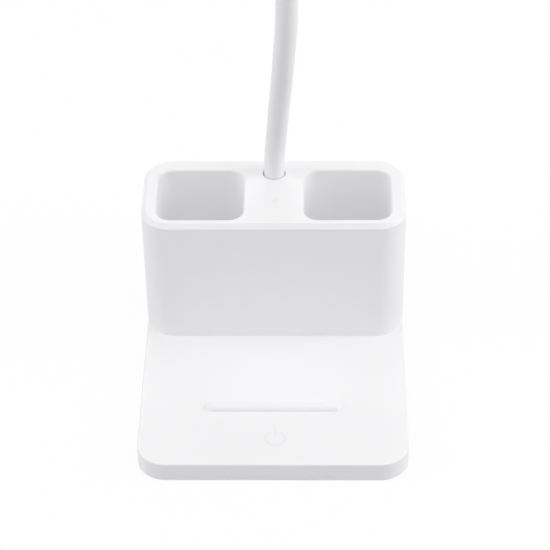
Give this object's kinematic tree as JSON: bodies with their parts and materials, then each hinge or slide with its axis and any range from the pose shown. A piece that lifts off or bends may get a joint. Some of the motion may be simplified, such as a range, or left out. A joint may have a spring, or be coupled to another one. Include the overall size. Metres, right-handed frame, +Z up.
{
  "type": "desk lamp",
  "caption": "Rechargeable desk lamp: flexible sleeved neck and round flat head on a white organiser base with pen pockets, a phone stop and a touch switch.",
  "frame": {"origin": "middle of the base plate's outline, on the table, in the underside of the grip pad", "axes": "+Z up, -Y towards the user (the plate's front edge), +X to the user's right"},
  "size_m": [0.1337, 0.2379, 0.338],
  "materials": {
    "shell": "satin",
    "cover": "satin",
    "pad": "matte",
    "sleeve": "satin",
    "steel": "satin",
    "nickel": "satin",
    "cell_wrap": "gloss",
    "board": "satin",
    "clear": "gloss",
    "opal": "satin",
    "aluminium": "satin"
  },
  "bodies": {
    "base": {"base_housing": "shell", "bottom_cover": "cover", "grip_pad": "pad", "ballast_plate": "steel", "battery_cell": "cell_wrap", "control_board": "board", "usb_inlet": "nickel", "touch_board": "board", "light_pipe": "clear", "indicator_board": "board", "neck_bush": "nickel", "neck_washer": "nickel", "neck_nut": "nickel", "sleeve_root": "sleeve", "core_root": "steel", "sleeve_flex_1": "sleeve", "core_flex_1": "steel"},
    "neck_1": {"sleeve_link_1": "sleeve", "core_link_1": "steel", "sleeve_flex_2": "sleeve", "core_flex_2": "steel"},
    "neck_2": {"sleeve_link_2": "sleeve", "core_link_2": "steel", "sleeve_flex_3": "sleeve", "core_flex_3": "steel"},
    "neck_3": {"sleeve_link_3": "sleeve", "core_link_3": "steel", "sleeve_flex_4": "sleeve", "core_flex_4": "steel"},
    "neck_4": {"sleeve_link_4": "sleeve", "core_link_4": "steel", "sleeve_flex_5": "sleeve", "core_flex_5": "steel"},
    "neck_5": {"sleeve_link_5": "sleeve", "core_link_5": "steel", "sleeve_flex_6": "sleeve", "core_flex_6": "steel"},
    "head": {"sleeve_tip": "sleeve", "core_tip": "steel", "head_shell": "shell", "head_bezel": "shell", "head_diffuser": "opal", "light_guide": "clear", "led_board": "aluminium"}
  },
  "joints": [
    {"name": "neck_low_bend", "type": "hinge", "parent": "base", "child": "neck_1", "pos_m": [0.00049, 0.0529, 0.09359], "axis": [0.9885, 0.1513, 0], "range_deg": [-45, 25], "deforming": ["sleeve_flex_1", "core_flex_1"]},
    {"name": "neck_low_side", "type": "hinge", "parent": "neck_1", "child": "neck_2", "pos_m": [0.00344, 0.03363, 0.13382], "axis": [0.131, -0.8561, -0.5], "range_deg": [-25, 25], "deforming": ["sleeve_flex_2", "core_flex_2"]},
    {"name": "neck_mid_bend", "type": "hinge", "parent": "neck_2", "child": "neck_3", "pos_m": [0.00637, 0.0145, 0.17215], "axis": [0.9885, 0.1513, 0], "range_deg": [-30, 40], "deforming": ["sleeve_flex_3", "core_flex_3"]},
    {"name": "neck_mid_side", "type": "hinge", "parent": "neck_3", "child": "neck_4", "pos_m": [0.00793, 0.0043, 0.24735], "axis": [0.1504, -0.9831, -0.1045], "range_deg": [-30, 30], "deforming": ["sleeve_flex_4", "core_flex_4"]},
    {"name": "neck_top_bend", "type": "hinge", "parent": "neck_4", "child": "neck_5", "pos_m": [0.01074, -0.01406, 0.32092], "axis": [0.9885, 0.1513, 0], "range_deg": [-84, 10], "deforming": ["sleeve_flex_5", "core_flex_5"]},
    {"name": "head_swing", "type": "hinge", "parent": "neck_5", "child": "head", "pos_m": [0.01741, -0.05766, 0.3317], "axis": [0, 0, 1], "range_deg": [-30, 30], "deforming": ["sleeve_flex_6", "core_flex_6"]}
  ]
}
